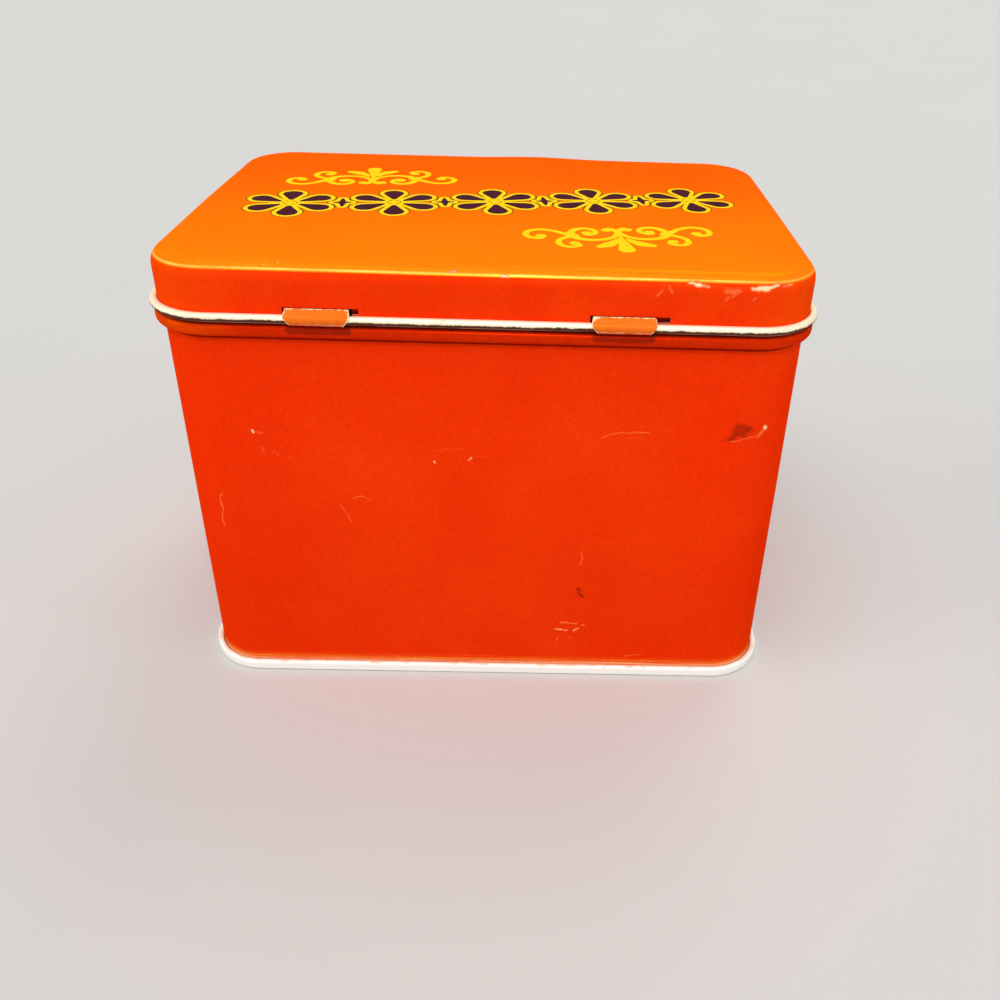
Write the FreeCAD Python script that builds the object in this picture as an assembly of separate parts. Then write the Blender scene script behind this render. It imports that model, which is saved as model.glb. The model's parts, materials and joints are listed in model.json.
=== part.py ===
"""Recipe card box: a tinplate box with a hinged slip-over lid.

Three sheets make it. The body sheet is wrapped to a rounded rectangle, beaded under the lid and
hemmed at the mouth, and two tongues lanced from its back neck are the hinge hooks. The base end is
double-seamed onto the body. The lid is drawn, and its lower edge is rolled out into a hollow curl
that turns in the hooks.

Millimetres. +Z is up, the hinge is on the +Y side, the origin is at the middle of the foot.
Every ring of sheet is drawn as a section in (out, up): out is measured outwards from the lid
skirt's outer face, which is the outline that all the rings share.
"""
import FreeCAD, Part
import math
import os

# Driving dimensions
lid_width = 133.0            # over the lid's skirt, along X
lid_depth = 93.0             # over the lid's skirt, along Y
box_height = 101.0           # foot to lid top
corner_radius = 12.6         # plan corners of the lid's skirt
top_bend_radius = 3.4        # outside of the bend between lid top and skirt
lid_drop = 10.85             # lid top to the middle of the curl
sheet = 0.28                 # body and lid tinplate
end_sheet = 0.30             # base end tinplate

curl_radius = 0.90           # outside of the rolled lid edge
curl_opening = 55.0          # degrees of the roll left open against the skirt

wall_inset = 0.75            # body wall's outer face inside the lid skirt's outer face
neck_inset = 1.05            # neck's outer face inside the lid skirt's outer face
neck_rise = 8.3              # middle of the curl to the hemmed mouth
hem_depth = 2.0              # folded leg of the mouth hem
hem_gap = 0.12               # air inside the hem

bead_height = 3.3            # the bead's band on the wall, between the ends of its fillets
bead_proud = 1.70            # the bead's crown beyond the wall
bead_fillet = 0.35           # bend where the bead leaves the wall and the neck
bead_crown = 1.10            # the two bends of its crown

tab_width = 12.8             # head of each hinge hook
tab_root_width = 11.4        # its narrower root
tab_pitch = 59.6             # between the two hooks' middles
tab_pair_offset = 2.4        # the pair's middle beside the box's middle
tab_chamfer = 0.75           # height of the slanted shoulders
shoulder_place = 0.5         # their middle below the curl's, as a share of the hook's radius
hook_clearance = 0.06        # hook to curl, all round
hook_bend = 0.30             # inside radius where the hook leaves the neck
hook_lean = 51.2             # degrees the hook's flat faces upwards
hook_tip_gap = 0.05          # hook's tip outside the skirt's outer face
hook_side_gap = 0.15         # each side of the hook in its window

slot_play = 2.4              # slot longer than the hook's head
slot_shift = 0.9             # the slot's middle beside the hook's middle
slot_headroom = 0.14         # slot's upper edge beyond the hook's tip
slot_lip = 0.25              # strip left above the curl in the free end of the slot
slot_lip_gap = 0.30          # that strip to the side of the hook

seam_height = 2.45           # double seam, foot to shoulder
seam_gap = 0.20              # between the folded layers of the seam
countersink = 3.6            # foot to the underside of the base panel
foot_bend = 0.30             # the two bends under the seam
panel_bend = 0.9             # inside radius between the seam wall and the base panel

lap_width = 5.0              # side seam of the body sheet
lap_shift = 18.0             # the side seam's middle towards the front of the end

# Worked out from them
half_width = lid_width / 2
half_depth = lid_depth / 2
hinge_z = box_height - lid_drop
curl_out = curl_radius - sheet
hinge_y = half_depth + curl_out
skirt_inner = -sheet
wall_outer = -wall_inset
wall_inner = wall_outer - sheet
neck_outer = -neck_inset
neck_inner = neck_outer - sheet
mouth_z = hinge_z + neck_rise
wall_middle = wall_outer - sheet / 2
neck_middle = neck_outer - sheet / 2
hook_inner = curl_radius + hook_clearance
hook_mid = hook_inner + sheet / 2
hook_outer = hook_inner + sheet
root_bend = hook_bend + sheet / 2
root_z = hinge_z - hook_mid - root_bend
bead_low = root_z - bead_height
tab_middles = {
    "hinge_tab_left": tab_pair_offset - tab_pitch / 2,
    "hinge_tab_right": tab_pair_offset + tab_pitch / 2,
}


class Strip:
    """A bent strip of sheet: runs and bends of its middle line, thickened both ways."""

    def __init__(self, out, up, heading, thickness):
        self.at = FreeCAD.Vector(out, up, 0)
        self.heading = math.radians(heading)
        self.half = thickness / 2
        self.length = 0.0
        self.left_edges = []
        self.right_edges = []

    def normal(self):
        return FreeCAD.Vector(-math.sin(self.heading), math.cos(self.heading), 0)

    def run(self, length):
        """Straight on by this length."""
        step = FreeCAD.Vector(math.cos(self.heading), math.sin(self.heading), 0) * length
        side = self.normal() * self.half
        self.left_edges.append(Part.makeLine(self.at + side, self.at + side + step))
        self.right_edges.append(Part.makeLine(self.at - side, self.at - side + step))
        self.at = self.at + step
        self.length += length
        return self

    def bend(self, radius, angle):
        """Turn by this angle, left if positive, with this radius to the middle line."""
        turn = math.radians(angle)
        sign = math.copysign(1, turn)
        centre = self.at + self.normal() * (sign * radius)
        start = self.normal()
        halfway = turned(start, turn / 2)
        end = turned(start, turn)
        for edges, side in ((self.left_edges, self.half), (self.right_edges, -self.half)):
            reach = side - sign * radius
            points = [centre + direction * reach for direction in (start, halfway, end)]
            edges.append(Part.Arc(*points).toShape())
        self.at = centre - end * (sign * radius)
        self.heading += turn
        self.length += abs(turn) * radius
        return self

    def face(self):
        """The thickened strip as a face in the (out, up) plane."""
        first = Part.makeLine(self.left_edges[0].Vertexes[0].Point,
                              self.right_edges[0].Vertexes[0].Point)
        last = Part.makeLine(self.left_edges[-1].Vertexes[-1].Point,
                             self.right_edges[-1].Vertexes[-1].Point)
        edges = self.left_edges + self.right_edges + [first, last]
        return Part.Face(Part.Wire(Part.__sortEdges__(edges)))


def turned(vector, angle):
    """A vector in the section plane, turned by an angle in radians."""
    cosine = math.cos(angle)
    sine = math.sin(angle)
    return FreeCAD.Vector(vector.x * cosine - vector.y * sine, vector.x * sine + vector.y * cosine, 0)


def placed(section, x, y, facing):
    """A section stood up at (x, y), its out direction facing this way round in plan."""
    stood = section.copy()
    stood.rotate(FreeCAD.Vector(0, 0, 0), FreeCAD.Vector(1, 0, 0), 90)
    stood.rotate(FreeCAD.Vector(0, 0, 0), FreeCAD.Vector(0, 0, 1), facing)
    stood.translate(FreeCAD.Vector(x, y, 0))
    return stood


def ring(section):
    """A section carried once round the lid skirt's outline: four runs and four corners."""
    run_x = lid_width - 2 * corner_radius
    run_y = lid_depth - 2 * corner_radius
    pieces = []
    for facing, run in ((0, run_y), (90, run_x), (180, run_y), (270, run_x)):
        out = turned(FreeCAD.Vector(1, 0, 0), math.radians(facing))
        along = turned(FreeCAD.Vector(0, 1, 0), math.radians(facing))
        reach = half_width if facing % 180 == 0 else half_depth
        start = out * reach - along * (run / 2)
        profile = placed(section, start.x, start.y, facing)
        pieces.append(profile.extrude(along * run))
        end = start + along * run
        centre = end - out * corner_radius
        profile = placed(section, end.x, end.y, facing)
        pieces.append(profile.revolve(centre, FreeCAD.Vector(0, 0, 1), 90))
    return joined(pieces)


def joined(pieces):
    """Several touching pieces as one solid."""
    return pieces[0].fuse(pieces[1:]).removeSplitter().Solids[0]


def trimmed(piece, cuts):
    """A piece with these cut away, as one solid."""
    return piece.cut(cuts).Solids[0]


def plate(inset, low, high):
    """A flat plate inside the outline, its edge this far inside the lid skirt's outer face."""
    x = half_width - inset
    y = half_depth - inset
    block = Part.makeBox(2 * x, 2 * y, high - low, FreeCAD.Vector(-x, -y, low))
    upright = [edge for edge in block.Edges if abs(edge.tangentAt(edge.FirstParameter).z) > 0.5]
    return block.makeFillet(corner_radius - inset, upright)


def box_between(x_range, y_range, z_range):
    """A plain block between these limits."""
    size = [high - low for low, high in (x_range, y_range, z_range)]
    return Part.makeBox(*size, FreeCAD.Vector(x_range[0], y_range[0], z_range[0]))


def hook_flat():
    """Length of the hook's flat, which ends just outside the skirt's outer face."""
    lean = math.radians(hook_lean)
    return (curl_out - hook_tip_gap + hook_outer * math.cos(lean)) / math.sin(lean)


def hook_strip():
    """The hinge hook from the neck out under the curl, up round it and back to the slot."""
    strip = Strip(neck_middle, root_z, 90, sheet)
    strip.bend(root_bend, -90)
    strip.run(curl_out - neck_middle - root_bend)
    strip.bend(hook_mid, 90 + hook_lean)
    strip.run(hook_flat())
    return strip


def seam_layers():
    """Middles of the double seam's upright layers, counted outwards from the body wall."""
    end_hook = wall_outer + seam_gap + end_sheet / 2
    body_hook = end_hook + end_sheet / 2 + seam_gap + sheet / 2
    seam_wall = body_hook + sheet / 2 + seam_gap + end_sheet / 2
    return end_hook, body_hook, seam_wall


def body_section():
    """The body sheet from the tip of its seam hook to the end of the mouth hem."""
    body_hook = seam_layers()[1]
    turn = (body_hook - wall_middle) / 2
    hook_top = seam_height - end_sheet - seam_gap
    turn_z = end_sheet + seam_gap + sheet / 2 + turn
    fold = (hem_gap + sheet) / 2
    strip = Strip(body_hook, hook_top, -90, sheet)
    strip.run(hook_top - turn_z)
    strip.bend(turn, -180)
    strip.run(bead_low - turn_z)
    add_bead(strip)
    strip.run(mouth_z - sheet / 2 - fold - root_z)
    strip.bend(fold, 180)
    strip.run(hem_depth - sheet / 2 - fold)
    return strip.face()


def add_bead(strip):
    """The bead: out from the wall, round its crown and back in to the neck."""
    flank = bead_proud - bead_fillet - bead_crown
    strip.bend(bead_fillet, -90)
    strip.run(flank)
    strip.bend(bead_crown, 90)
    strip.run(bead_height - 2 * bead_fillet - 2 * bead_crown)
    strip.bend(bead_crown, 90)
    strip.run(flank + wall_middle - neck_middle)
    strip.bend(bead_fillet, -90)


def hook_window(middle):
    """What a hinge hook leaves open in the neck: its own width and flat length."""
    half = tab_width / 2 + hook_side_gap
    return box_between((middle - half, middle + half),
                       (half_depth + neck_inner - hem_gap / 2, half_depth),
                       (root_z, root_z + hook_strip().length))


def side_lap():
    """The second layer of the body sheet where its ends lap, inside the right-hand end."""
    inside = half_width + wall_inner
    return box_between((inside - sheet, inside),
                       (-lap_shift - lap_width / 2, -lap_shift + lap_width / 2),
                       (countersink + end_sheet + panel_bend, bead_low))


def body_wall():
    """Wrapped body sheet with its bead, neck, hem, lap seam and hook windows."""
    windows = [hook_window(middle) for middle in tab_middles.values()]
    return joined([trimmed(ring(body_section()), windows), side_lap()])


def hinge_tab(middle):
    """One hinge hook: its section drawn out to its width, with the root narrowed."""
    section = placed(hook_strip().face(), middle + tab_width / 2, half_depth, 90)
    hook = section.extrude(FreeCAD.Vector(-tab_width, 0, 0))
    return trimmed(hook, [shoulder(middle, side) for side in (-1, 1)])


def shoulder(middle, side):
    """What is trimmed off one side of the hook's root, up to its slanted shoulder."""
    outer = middle + side * (tab_width / 2 + sheet)
    edge = middle + side * tab_width / 2
    root = middle + side * tab_root_width / 2
    high = hinge_z - hook_mid * shoulder_place + tab_chamfer / 2
    low = root_z - sheet
    corners = [(outer, low), (root, low), (root, high - tab_chamfer), (edge, high), (outer, high)]
    back = half_depth + neck_inner - sheet
    points = [FreeCAD.Vector(x, back, z) for x, z in corners]
    face = Part.Face(Part.makePolygon(points + points[:1]))
    return face.extrude(FreeCAD.Vector(0, hinge_y + hook_outer + sheet - back, 0))


def base_section():
    """The base end from its hook inside the seam to the edge of the countersunk panel."""
    end_hook, body_hook, seam_wall = seam_layers()
    seat = wall_inner - end_sheet / 2
    fold = (seam_wall - end_hook) / 2
    shoulder_z = seam_height - end_sheet / 2 - fold
    foot_z = end_sheet / 2 + foot_bend
    hook_low = 2 * (end_sheet + seam_gap) + sheet
    turn = panel_bend + end_sheet / 2
    strip = Strip(end_hook, hook_low, 90, end_sheet)
    strip.run(shoulder_z - hook_low)
    strip.bend(fold, -180)
    strip.run(shoulder_z - foot_z)
    strip.bend(foot_bend, -90)
    strip.run(seam_wall - seat - 2 * foot_bend)
    strip.bend(foot_bend, -90)
    strip.run(countersink + end_sheet / 2 - turn - foot_z)
    strip.bend(turn, 90)
    return strip


def base_panel():
    """White base end: countersunk panel, seam wall and the double seam's outer layers."""
    section = base_section()
    panel = plate(-section.at.x, countersink, countersink + end_sheet)
    return joined([ring(section.face()), panel])


def lid_section():
    """Lid sheet from the flat top round the bend and down the skirt to the curl's middle."""
    bend = top_bend_radius - sheet / 2
    strip = Strip(-sheet / 2, hinge_z, 90, sheet)
    strip.run(box_height - top_bend_radius - hinge_z)
    strip.bend(bend, 90)
    return strip.face()


def lid_slot(middle):
    """The slot over one hinge hook, open down to the curl where the lid swings past the hook."""
    half = (tab_width + slot_play) / 2
    x = middle - slot_shift
    tip = math.hypot(hook_outer, hook_flat())
    high = hinge_z + math.sqrt((tip + slot_headroom) ** 2 - curl_out ** 2)
    through = (half_depth + skirt_inner - sheet, half_depth + sheet)
    opening = box_between((x - half, x + half), through, (hinge_z, high))
    roll = Part.makeCylinder(curl_radius, 2 * half,
                             FreeCAD.Vector(x - half, hinge_y, hinge_z), FreeCAD.Vector(1, 0, 0))
    lip = box_between((x - half, middle - tab_width / 2 - slot_lip_gap), through,
                      (hinge_z, hinge_z + curl_radius + slot_lip))
    return opening.cut([roll, lip])


def lid_shell():
    """Printed lid: flat top, top bend and skirt, with a slot over each hinge hook."""
    top = plate(top_bend_radius, box_height - sheet, box_height)
    slots = [lid_slot(middle) for middle in tab_middles.values()]
    return trimmed(joined([ring(lid_section()), top]), slots)


def curl_section():
    """The rolled edge: down from the skirt, out, up and back to just short of the skirt."""
    strip = Strip(-sheet / 2, hinge_z, -90, sheet)
    strip.bend(curl_radius - sheet / 2, 360 - curl_opening)
    return strip.face()


def lid_rim_curl():
    """Hollow rolled edge all round the lid; its back stretch is the hinge's pin."""
    return ring(curl_section())


def main():
    os.makedirs("parts", exist_ok=True)
    nodes = {
        "body_wall": body_wall(),
        "base_panel": base_panel(),
        "lid_shell": lid_shell(),
        "lid_rim_curl": lid_rim_curl(),
    }
    for name, middle in tab_middles.items():
        nodes[name] = hinge_tab(middle)
    for name, shape in nodes.items():
        box = shape.BoundBox
        print(name, shape.ShapeType, "valid", shape.isValid(), "solids", len(shape.Solids),
              "volume %.1f" % shape.Volume,
              "x %.2f %.2f y %.2f %.2f z %.2f %.2f" % (box.XMin, box.XMax, box.YMin, box.YMax,
                                                       box.ZMin, box.ZMax))
        shape.exportStep("parts/%s.step" % name)


main()
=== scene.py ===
"""Recipe card box: the finished tinplate pieces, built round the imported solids.

Every ring of sheet is walked as a middle line in (out, up), carried round the lid skirt's outline
and thickened: out is measured outwards from the skirt's outer face, up from the foot. Lengths are
in metres; shader patterns are in millimetres.
"""

import json
import math

import bmesh
import bpy
from bpy.props import FloatProperty, FloatVectorProperty, PointerProperty
from mathutils import Matrix, Vector, noise
from mathutils.geometry import delaunay_2d_cdt


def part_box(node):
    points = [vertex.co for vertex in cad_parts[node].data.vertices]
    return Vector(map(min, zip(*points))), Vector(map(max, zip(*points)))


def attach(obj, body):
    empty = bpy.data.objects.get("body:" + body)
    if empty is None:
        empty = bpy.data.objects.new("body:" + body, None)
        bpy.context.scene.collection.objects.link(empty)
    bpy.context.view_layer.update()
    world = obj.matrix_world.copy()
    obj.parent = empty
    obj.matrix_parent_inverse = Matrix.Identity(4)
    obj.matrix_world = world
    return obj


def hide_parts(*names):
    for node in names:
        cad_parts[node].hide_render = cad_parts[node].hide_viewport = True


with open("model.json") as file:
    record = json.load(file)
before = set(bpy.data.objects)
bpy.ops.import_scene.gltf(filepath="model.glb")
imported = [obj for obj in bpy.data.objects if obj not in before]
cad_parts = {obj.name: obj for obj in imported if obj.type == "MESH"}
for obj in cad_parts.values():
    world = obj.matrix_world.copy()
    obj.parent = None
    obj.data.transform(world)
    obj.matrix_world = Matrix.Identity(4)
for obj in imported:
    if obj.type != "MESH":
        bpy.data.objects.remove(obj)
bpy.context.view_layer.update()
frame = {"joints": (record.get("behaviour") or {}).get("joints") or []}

bl_info = {
    "name": "Recipe card box",
    "version": (1, 0, 0),
    "blender": (4, 5, 0),
    "location": "View3D > Sidebar > Card box",
    "description": "Builds a printed tinplate card box with a hinged lid",
    "category": "Add Mesh",
}

MM = 0.001
LID_LOW, LID_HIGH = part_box("lid_shell")
HOOK_LOW, HOOK_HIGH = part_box("hinge_tab_right")
HOOKS = {"left": "hinge_tab_left", "right": "hinge_tab_right"}
HINGE = Vector(frame["joints"][0]["pos_m"])

# Mesh density
GUARD = 0.12 * MM            # row of points this far inside each end of a flat run
BEND_STEP = 15.0             # degrees between points round a bend
CORNER_PARTS = 16            # parts of each plan corner
WALL_STEP = 3.5 * MM         # between upright rows on the flat sides
TOP_STEP = 3.0 * MM          # between points inside a flat panel
WALL_ROWS = 12               # level rows on the flat walls
SHARP_ANGLE = math.radians(38)

# Unevenness of the walls
BUCKLE = 0.16 * MM           # the most that a flat wall stands in or out
BUCKLE_ALONG = 34 * MM       # size of these waves along the wall
BUCKLE_UP = 29 * MM          # and up it
WALL_REACH = 4 * MM          # a point this near to a side counts as on it
GROOVE_DEPTH = 0.09 * MM     # at the side lap's edge
GROOVE_REACH = 0.26 * MM     # to each side of that edge
GROOVE_STEP = 0.12 * MM      # between the rows of points that carry it

# Unevenness of the lid's top, which stands low by so many millimetres
MIDDLE_SINK = 0.10           # in its middle
FRONT_SINK = 0.42            # along its front edge
CORNER_SINK = 0.24           # more than that at the right-hand front corner
SINK_REACH = 3 * MM          # how far below the top bend it begins
WAVE_PLACE = -9 * MM         # middle of the stretch of the front edge that keeps its height
WAVE_REACH = 18 * MM         # to each side of that

# Cut edges of the hooks
EDGE_ROUND = 0.035 * MM      # how far they are rounded
EDGE_ANGLE = math.radians(50)

# Inks of the lid print, each one's place in the lid's list of materials
SKY, GOLD_EDGE, KEYLINE, YELLOW, PLUM = range(5)


def length(name, text, default):
    """A size in metres."""
    return FloatProperty(name=name, description=text, default=default, min=0.0,
                         subtype="DISTANCE", unit="LENGTH", precision=5)


def turn(name, text, degrees):
    """An angle, given in degrees and kept in radians."""
    return FloatProperty(name=name, description=text, default=math.radians(degrees),
                         subtype="ANGLE", unit="ROTATION")


def tint(name, text, red, green, blue):
    """A colour as it looks on a screen, from 0 to 255, kept as light."""
    shade = [linear(part / 255) for part in (red, green, blue)]
    return FloatVectorProperty(name=name, description=text, default=shade, subtype="COLOR",
                               size=3, min=0.0, max=1.0)


def amount(name, text, default, high=10.0):
    """A plain number."""
    return FloatProperty(name=name, description=text, default=default, min=0.0, max=high)


def linear(part):
    """A screen colour's part as light."""
    return part / 12.92 if part <= 0.04045 else ((part + 0.055) / 1.055) ** 2.4


class CardBoxSizes(bpy.types.PropertyGroup):
    """Sizes of the box, its lid and its base end."""

    lid_width: length("Lid width", "Over the lid's skirt", LID_HIGH.x - LID_LOW.x)
    lid_depth: length("Lid depth", "Over the lid's skirt", LID_HIGH.y - LID_LOW.y)
    height: length("Height", "Foot to lid top", LID_HIGH.z)
    corner_radius: length("Corner radius", "Plan corners of the lid's skirt", 12.6 * MM)
    top_bend: length("Top bend", "Outside of the bend from lid top to skirt", 3.4 * MM)
    sheet: length("Sheet", "Body and lid tinplate", 0.28 * MM)
    end_sheet: length("End sheet", "Base end tinplate", 0.30 * MM)
    hinge_out: length("Hinge out", "Roll's middle beyond the skirt", HINGE.y - LID_HIGH.y)
    hinge_up: length("Hinge height", "Roll's middle above the foot", HINGE.z)
    curl_radius: length("Roll radius", "Outside of the rolled lid edge", 0.90 * MM)
    curl_opening: turn("Roll opening", "Part of the roll left open", 55.0)
    wall_inset: length("Wall inset", "Wall inside the skirt's outer face", 0.75 * MM)
    neck_inset: length("Neck inset", "Neck inside the skirt's outer face", 1.05 * MM)
    neck_rise: length("Neck rise", "Roll's middle to the hemmed mouth", 8.3 * MM)
    hem_depth: length("Hem depth", "Folded leg of the mouth hem", 2.0 * MM)
    hem_gap: length("Hem gap", "Air inside the hem", 0.12 * MM)
    bead_height: length("Bead height", "The bead's band on the wall", 2.85 * MM)
    bead_proud: length("Bead proud", "The bead's crown beyond the wall", 1.70 * MM)
    bead_fillet: length("Bead fillet", "Bends where the bead leaves the wall", 0.35 * MM)
    bead_crown: length("Bead crown", "Its lower bend", 1.00 * MM)
    bead_shoulder: length("Bead shoulder", "Its upper bend", 0.75 * MM)
    bead_slope: turn("Bead slope", "How far its top slopes back to the neck", 20.0)
    seam_height: length("Seam height", "Foot to the double seam's shoulder", 2.45 * MM)
    seam_gap: length("Seam gap", "Between the seam's folded layers", 0.20 * MM)
    countersink: length("Countersink", "Foot to the base panel", 3.6 * MM)
    foot_bend: length("Foot bend", "The two bends under the seam", 0.30 * MM)
    panel_bend: length("Panel bend", "Inside of the base panel's bend", 0.9 * MM)
    lap_width: length("Side lap", "Overlap of the body sheet's ends", 5.0 * MM)
    lap_shift: length("Side lap place", "Lap towards the front of its end", 18.0 * MM)

    @property
    def half_x(self):
        return self.lid_width / 2

    @property
    def half_y(self):
        return self.lid_depth / 2

    @property
    def wall_middle(self):
        return -self.wall_inset - self.sheet / 2

    @property
    def neck_middle(self):
        return -self.neck_inset - self.sheet / 2


class CardBoxHooks(bpy.types.PropertyGroup):
    """Sizes of the hinge hooks and of the slots over them."""

    width: length("Hook width", "Head of each hinge hook", HOOK_HIGH.x - HOOK_LOW.x)
    root_width: length("Root width", "The narrower root", 10.2 * MM)
    chamfer: length("Shoulders", "Height of the slanted shoulders", 1.60 * MM)
    tip_round: length("Tip corners", "Rounding of the head's corners", 0.55 * MM)
    shoulder_place: amount("Shoulder place", "Below the roll's middle, by hook radius", 0.18)
    clearance: length("Clearance", "Hook to roll, all round", 0.06 * MM)
    bend: length("Root bend", "Inside radius where it leaves the neck", 0.30 * MM)
    lean: turn("Lean", "How far the hook's flat faces upwards", 51.2)
    tip_gap: length("Tip gap", "Tip outside the skirt's outer face", 0.05 * MM)
    side_gap: length("Side gap", "Each side of the hook in its window", 0.15 * MM)
    slot_near: length("Slot, near end", "Hook's middle to the slot's tight end", 6.75 * MM)
    slot_far_left: length("Left slot, free end", "Hook's middle to the open end", 8.95 * MM)
    slot_far_right: length("Right slot, free end", "Hook's middle to the open end", 8.0 * MM)
    slot_headroom: length("Headroom", "Slot's upper edge beyond the tip", 0.14 * MM)
    slot_lip: length("Slot lip", "Strip left above the roll in the free end", 0.10 * MM)
    slot_lip_gap: length("Lip gap", "That strip to the side of the hook", 0.30 * MM)


class CardBoxPrint(bpy.types.PropertyGroup):
    """Places and sizes of the lid's printed ornament."""

    tilt: turn("Tilt", "The whole print against the box", 7.5)
    back_scroll: FloatVectorProperty(name="Back scroll", description="Its crossing on the lid",
                                     size=2, default=(-27.1 * MM, 20.9 * MM), unit="LENGTH")
    front_scroll: FloatVectorProperty(name="Front scroll", description="Its crossing on the lid",
                                      size=2, default=(30.4 * MM, -15.4 * MM), unit="LENGTH")
    flower_pitch: length("Flower pitch", "Between the row's flowers", 22.9 * MM)
    outline: length("Outline", "Yellow line round the plum petals", 1.0 * MM)
    keyline: length("Keyline", "Dark line round the yellow", 0.28 * MM)


class CardBoxColours(bpy.types.PropertyGroup):
    """Colours of the print, the enamel and the bare metal."""

    red: tint("Red print", "Walls and skirt", 243, 50, 5)
    warm_red: tint("Warm red", "Where the red print drifts lighter", 250, 66, 10)
    # Painted light: the lid's top is orange where the red print faces up, lightening towards the hinge
    # as a painted sheen; the front orange also paints the lit ends of the skirt and the bead.
    orange_back: tint("Orange, hinge side", "Lid top towards the hinge", 255, 124, 12)
    orange_front: tint("Orange, front", "Lid top towards the front", 255, 94, 8)
    yellow: tint("Yellow ink", "Scrolls and outlines", 253, 210, 28)
    plum: tint("Plum ink", "Petals", 66, 32, 48)
    keyline: tint("Keyline ink", "Thin line round the outlines", 112, 74, 10)
    gold_edge: tint("Gold edge", "Where yellow overlaps the ground", 226, 142, 4)
    worn: tint("Worn print", "Rubbed edges and deep chips", 255, 214, 166)
    rust: tint("Rust", "Stain where the enamel meets the wall", 236, 166, 96)
    # Painted highlight along the lid's top bend, which also stands for worn print there.
    wear_and_highlight: tint("Rubbed bend", "Thin line along the lid's top bend", 255, 200, 88)
    # Painted reflection of the white seam on the foot of the wall.
    painted_seam_reflection: tint("Stained print", "Foot of the wall, just over the seam", 236, 112, 34)
    scuffed: tint("Scuffed print", "Shallow scratches", 255, 104, 52)
    # Dark marks and specks, and also painted shade in the slots and painted shadows under the hooks.
    bruise_and_shade: tint("Bruise", "Dark marks on the wall", 128, 28, 10)
    # Painted shade over the bead and neck, and painted shadow in the fold under the bead.
    painted_crease_shade: tint("Crease", "Dirt in the bends of the body sheet", 128, 12, 0)
    tin: tint("Bare tin", "Inside of the box and the lid", 234, 229, 215)
    roll: tint("Rolled edge", "The tin of the roll, warmed by handling", 252, 238, 204)
    # Painted shade and dark reflection on the roll's underside.
    underside_shade: tint("Tarnish", "Browned underside of the rolled edge", 88, 42, 22)
    enamel: tint("Enamel", "Base end", 248, 246, 240)
    grime: tint("Grime", "Dirt along seams", 120, 92, 66)
    floor: tint("Floor", "The floor it stands on", 202, 201, 198)


class CardBoxStage(bpy.types.PropertyGroup):
    """Camera place and light."""

    eye: FloatVectorProperty(name="Eye", description="Camera place", size=3, unit="LENGTH",
                             default=(-10.63 * MM, 223.79 * MM, 163.62 * MM))
    yaw: turn("Yaw", "Camera turned to its side", -1.71)
    pitch: turn("Pitch", "Camera turned down", 30.96)
    roll: turn("Roll", "Camera rolled", 2.18)
    lens: amount("Lens", "Focal length in millimetres, for a 36 mm frame", 35.04, 200.0)
    shift_x: FloatProperty(name="Shift across", description="Lens shift", default=-0.06)
    shift_y: FloatProperty(name="Shift up", description="Lens shift", default=-0.03)
    sky: amount("Sky", "Even light all round; 1 alone shows white as white", 0.34)
    backdrop: amount("Backdrop", "How light the far background looks", 0.74, 1.0)
    key: amount("Key", "Light of the first lamp on a surface that faces it", 0.40)
    glint: amount("Glint", "Light of the small lamp that glints on the bends", 0.26)
    level: amount("Level", "Light of the lamp beside the camera", 0.09)
    side: amount("Side", "Light of the low lamp at the right-hand end", 0.20)
    far_side: amount("Far side", "Light of the low lamp at the left-hand end", 0.10)
    fill: amount("Fill", "Light of the wide lamp in front", 0.18)


class SheetLine:
    """Middle line of a bent sheet in (out, up), walked run by run and bend by bend."""

    def __init__(self, out, up, heading):
        self.at = Vector((out, up))
        self.heading = math.radians(heading)
        self.points = [self.at.copy()]
        self.marks = {}

    def mark(self, name):
        """Remember this place in the line."""
        self.marks[name] = len(self.points) - 1

    def go(self, step):
        """A point this far straight on."""
        self.at = self.at + Vector((math.cos(self.heading), math.sin(self.heading))) * step
        self.points.append(self.at.copy())

    def run(self, distance):
        """Straight on, with a guarding point near each end of a long run."""
        steps = [GUARD, distance - 2 * GUARD, GUARD] if distance > 6 * GUARD else [distance]
        for step in steps:
            self.go(step)
        return self

    def bend(self, radius, degrees):
        """Turn, left if positive, with this radius to the middle line."""
        parts = max(2, round(abs(degrees) / BEND_STEP))
        angle = math.radians(degrees) / parts
        chord = 2 * radius * math.sin(abs(angle) / 2)
        for _ in range(parts):
            self.heading += angle / 2
            self.go(chord)
            self.heading += angle / 2
        return self


def seam_layers(s):
    """Middles of the double seam's upright layers, counted outwards from the body wall."""
    end_hook = -s.wall_inset + s.seam_gap + s.end_sheet / 2
    body_hook = end_hook + s.end_sheet / 2 + s.seam_gap + s.sheet / 2
    seam_wall = body_hook + s.sheet / 2 + s.seam_gap + s.end_sheet / 2
    return end_hook, body_hook, seam_wall


def hook_radius(s, h):
    """Middle line of the hook round the roll."""
    return s.curl_radius + h.clearance + s.sheet / 2


def root_height(s, h):
    """Height at which the hooks leave the neck."""
    return s.hinge_up - hook_radius(s, h) - h.bend - s.sheet / 2


def hook_flat(s, h):
    """Length of the hook's flat, which ends just outside the skirt."""
    reach = (hook_radius(s, h) + s.sheet / 2) * math.cos(h.lean)
    return (s.hinge_out - h.tip_gap + reach) / math.sin(h.lean)


def hook_line(s, h):
    """The hook from the neck out under the roll, up round it and back to the slot."""
    root_bend = h.bend + s.sheet / 2
    line = SheetLine(s.neck_middle, root_height(s, h), 90)
    line.bend(root_bend, -90)
    line.run(s.hinge_out - s.neck_middle - root_bend)
    line.bend(hook_radius(s, h), 90 + math.degrees(h.lean))
    line.run(hook_flat(s, h))
    return line


def hook_length(s, h):
    """Length of the flat tongue that was bent into the hook."""
    root_bend = h.bend + s.sheet / 2
    bends = root_bend * math.pi / 2 + hook_radius(s, h) * (math.pi / 2 + h.lean)
    return bends + s.hinge_out - s.neck_middle - root_bend + hook_flat(s, h)


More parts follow.
